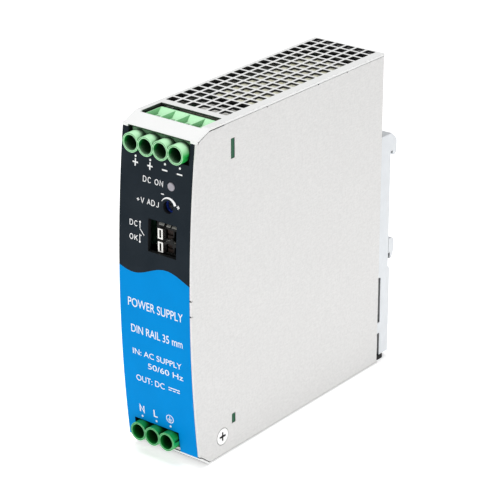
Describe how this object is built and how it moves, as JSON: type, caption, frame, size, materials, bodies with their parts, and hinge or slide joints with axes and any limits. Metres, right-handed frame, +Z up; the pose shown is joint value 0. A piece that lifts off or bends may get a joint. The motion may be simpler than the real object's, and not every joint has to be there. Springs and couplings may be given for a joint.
{
  "type": "din rail power supply",
  "caption": "Slim metal-cased supply with a bowed front, screw terminals above and below, vented top and base, and a sprung rail bracket.",
  "frame": {"origin": "under the middle of the whole object's box, on the plane of the case's underside", "axes": "+Z up, front faces -Y, rail side faces +Y, +X to the right seen from the front"},
  "size_m": [0.032, 0.1212, 0.124],
  "materials": {
    "cover_steel": "fine satin, near white",
    "side_aluminium": "satin, fine mottled grain",
    "panel_plastic": "matte black",
    "label_film": "matte printed film, charcoal above and blue below",
    "screw_steel": "bright zinc",
    "terminal_green": "semi-gloss moulded nylon",
    "tinned_metal": "tinned",
    "clamp_screw_steel": "zinc",
    "clamp_steel": "nickel plated",
    "relay_terminal_black": "matte",
    "release_brown": "matte",
    "light_pipe": "frosted",
    "led_white": "gloss",
    "trimmer_blue": "semi-gloss",
    "trimmer_rotor": "matte",
    "circuit_board": "solder mask",
    "header_black": "matte",
    "insulating_film": "translucent film",
    "standoff_brass": "nickel plated brass",
    "fuse_ceramic": "ceramic with metal caps",
    "thermistor_green": "epoxy dipped",
    "capacitor_yellow": "gloss box",
    "capacitor_blue": "epoxy dipped",
    "ferrite": "ferrite",
    "copper_winding": "enamelled copper",
    "epoxy_black": "moulded epoxy",
    "sleeve_black": "PVC sleeve",
    "sleeve_grey": "pale sleeve",
    "heatsink_aluminium": "mill finish",
    "winding_tape": "cream polyester tape",
    "relay_white": "gloss",
    "galvanised_steel": "galvanised",
    "latch_black": "matte",
    "spring_steel": "drawn wire"
  },
  "bodies": {
    "case": {"cover": "cover_steel", "chassis": "side_aluminium", "front_panel": "panel_plastic", "front_label": "label_film", "case_screws": "screw_steel", "output_terminal_housing": "terminal_green", "input_terminal_housing": "terminal_green", "output_contact_bars": "tinned_metal", "input_contact_bars": "tinned_metal", "relay_terminal_housing": "relay_terminal_black", "relay_terminal_contacts": "tinned_metal", "led_light_pipe": "light_pipe", "status_led": "led_white", "trimmer_body": "trimmer_blue", "terminal_board": "circuit_board", "control_board": "circuit_board", "board_header": "header_black", "main_board": "circuit_board", "insulating_sheet": "insulating_film", "board_standoffs": "standoff_brass", "board_screws": "screw_steel", "fuse": "fuse_ceramic", "inrush_thermistor": "thermistor_green", "x_capacitor": "capacitor_yellow", "y_capacitors": "capacitor_blue", "choke_core": "ferrite", "choke_winding": "copper_winding", "bridge_rectifier": "epoxy_black", "bulk_capacitor": "sleeve_black", "pfc_choke": "ferrite", "heatsink": "heatsink_aluminium", "transistors": "epoxy_black", "transformer_core": "ferrite", "transformer_winding": "winding_tape", "output_capacitors": "sleeve_grey", "output_inductor": "ferrite", "ok_relay": "relay_white", "optocouplers": "epoxy_black", "rail_bracket": "galvanised_steel", "bracket_screws": "screw_steel", "latch_spring": "spring_steel"},
    "output_screw_1": {"output_screw_1": "clamp_screw_steel"},
    "output_clamp_1": {"output_clamp_1": "clamp_steel"},
    "output_screw_2": {"output_screw_2": "clamp_screw_steel"},
    "output_clamp_2": {"output_clamp_2": "clamp_steel"},
    "output_screw_3": {"output_screw_3": "clamp_screw_steel"},
    "output_clamp_3": {"output_clamp_3": "clamp_steel"},
    "output_screw_4": {"output_screw_4": "clamp_screw_steel"},
    "output_clamp_4": {"output_clamp_4": "clamp_steel"},
    "input_screw_1": {"input_screw_1": "clamp_screw_steel"},
    "input_clamp_1": {"input_clamp_1": "clamp_steel"},
    "input_screw_2": {"input_screw_2": "clamp_screw_steel"},
    "input_clamp_2": {"input_clamp_2": "clamp_steel"},
    "input_screw_3": {"input_screw_3": "clamp_screw_steel"},
    "input_clamp_3": {"input_clamp_3": "clamp_steel"},
    "trimmer_rotor": {"trimmer_rotor": "trimmer_rotor"},
    "relay_release_upper": {"relay_release_upper": "release_brown"},
    "relay_release_lower": {"relay_release_lower": "release_brown"},
    "rail_latch": {"rail_latch": "galvanised_steel", "latch_slide": "latch_black"}
  },
  "joints": [
    {"name": "output_screw_1_turn", "type": "hinge", "parent": "case", "child": "output_screw_1", "pos_m": [-0.0096, -0.04645, 0.1202], "axis": [0, 0, -1], "range_deg": [0, 1584.1]},
    {"name": "output_clamp_1_lift", "type": "slide", "parent": "case", "child": "output_clamp_1", "axis": [0, 0, 1], "range_m": [0, 0.0022]},
    {"name": "output_screw_2_turn", "type": "hinge", "parent": "case", "child": "output_screw_2", "pos_m": [-0.0032, -0.04645, 0.1202], "axis": [0, 0, -1], "range_deg": [0, 1584.1]},
    {"name": "output_clamp_2_lift", "type": "slide", "parent": "case", "child": "output_clamp_2", "axis": [0, 0, 1], "range_m": [0, 0.0022]},
    {"name": "output_screw_3_turn", "type": "hinge", "parent": "case", "child": "output_screw_3", "pos_m": [0.0032, -0.04645, 0.1202], "axis": [0, 0, -1], "range_deg": [0, 1584.1]},
    {"name": "output_clamp_3_lift", "type": "slide", "parent": "case", "child": "output_clamp_3", "axis": [0, 0, 1], "range_m": [0, 0.0022]},
    {"name": "output_screw_4_turn", "type": "hinge", "parent": "case", "child": "output_screw_4", "pos_m": [0.0096, -0.04645, 0.1202], "axis": [0, 0, -1], "range_deg": [0, 1584.1]},
    {"name": "output_clamp_4_lift", "type": "slide", "parent": "case", "child": "output_clamp_4", "axis": [0, 0, 1], "range_m": [0, 0.0022]},
    {"name": "input_screw_1_turn", "type": "hinge", "parent": "case", "child": "input_screw_1", "pos_m": [-0.009, -0.04645, 0.0045], "axis": [0, 0, 1], "range_deg": [0, 1584.1]},
    {"name": "input_clamp_1_lift", "type": "slide", "parent": "case", "child": "input_clamp_1", "axis": [0, 0, -1], "range_m": [0, 0.0022]},
    {"name": "input_screw_2_turn", "type": "hinge", "parent": "case", "child": "input_screw_2", "pos_m": [-0.0026, -0.04645, 0.0045], "axis": [0, 0, 1], "range_deg": [0, 1584.1]},
    {"name": "input_clamp_2_lift", "type": "slide", "parent": "case", "child": "input_clamp_2", "axis": [0, 0, -1], "range_m": [0, 0.0022]},
    {"name": "input_screw_3_turn", "type": "hinge", "parent": "case", "child": "input_screw_3", "pos_m": [0.0038, -0.04645, 0.0045], "axis": [0, 0, 1], "range_deg": [0, 1584.1]},
    {"name": "input_clamp_3_lift", "type": "slide", "parent": "case", "child": "input_clamp_3", "axis": [0, 0, -1], "range_m": [0, 0.0022]},
    {"name": "voltage_adjust", "type": "hinge", "parent": "case", "child": "trimmer_rotor", "pos_m": [0.0053, -0.05615, 0.0963], "axis": [0, 1, 0], "range_deg": [-135, 135]},
    {"name": "relay_release_upper_press", "type": "slide", "parent": "case", "child": "relay_release_upper", "axis": [0, 1, 0], "range_m": [0, 0.0015], "stiffness_N_per_m": 1500, "springref_m": -0.001},
    {"name": "relay_release_lower_press", "type": "slide", "parent": "case", "child": "relay_release_lower", "axis": [0, 1, 0], "range_m": [0, 0.0015], "stiffness_N_per_m": 1500, "springref_m": -0.001},
    {"name": "latch_pull", "type": "slide", "parent": "case", "child": "rail_latch", "axis": [0, 0, -1], "range_m": [0, 0.005], "stiffness_N_per_m": 2000, "springref_m": -0.003, "deforming": ["latch_spring"]}
  ],
  "couplings": [
    {"joint": "output_screw_1_turn", "follows": "output_clamp_1_lift", "rad_per_m": 12566},
    {"joint": "output_screw_2_turn", "follows": "output_clamp_2_lift", "rad_per_m": 12566},
    {"joint": "output_screw_3_turn", "follows": "output_clamp_3_lift", "rad_per_m": 12566},
    {"joint": "output_screw_4_turn", "follows": "output_clamp_4_lift", "rad_per_m": 12566},
    {"joint": "input_screw_1_turn", "follows": "input_clamp_1_lift", "rad_per_m": 12566},
    {"joint": "input_screw_2_turn", "follows": "input_clamp_2_lift", "rad_per_m": 12566},
    {"joint": "input_screw_3_turn", "follows": "input_clamp_3_lift", "rad_per_m": 12566}
  ]
}
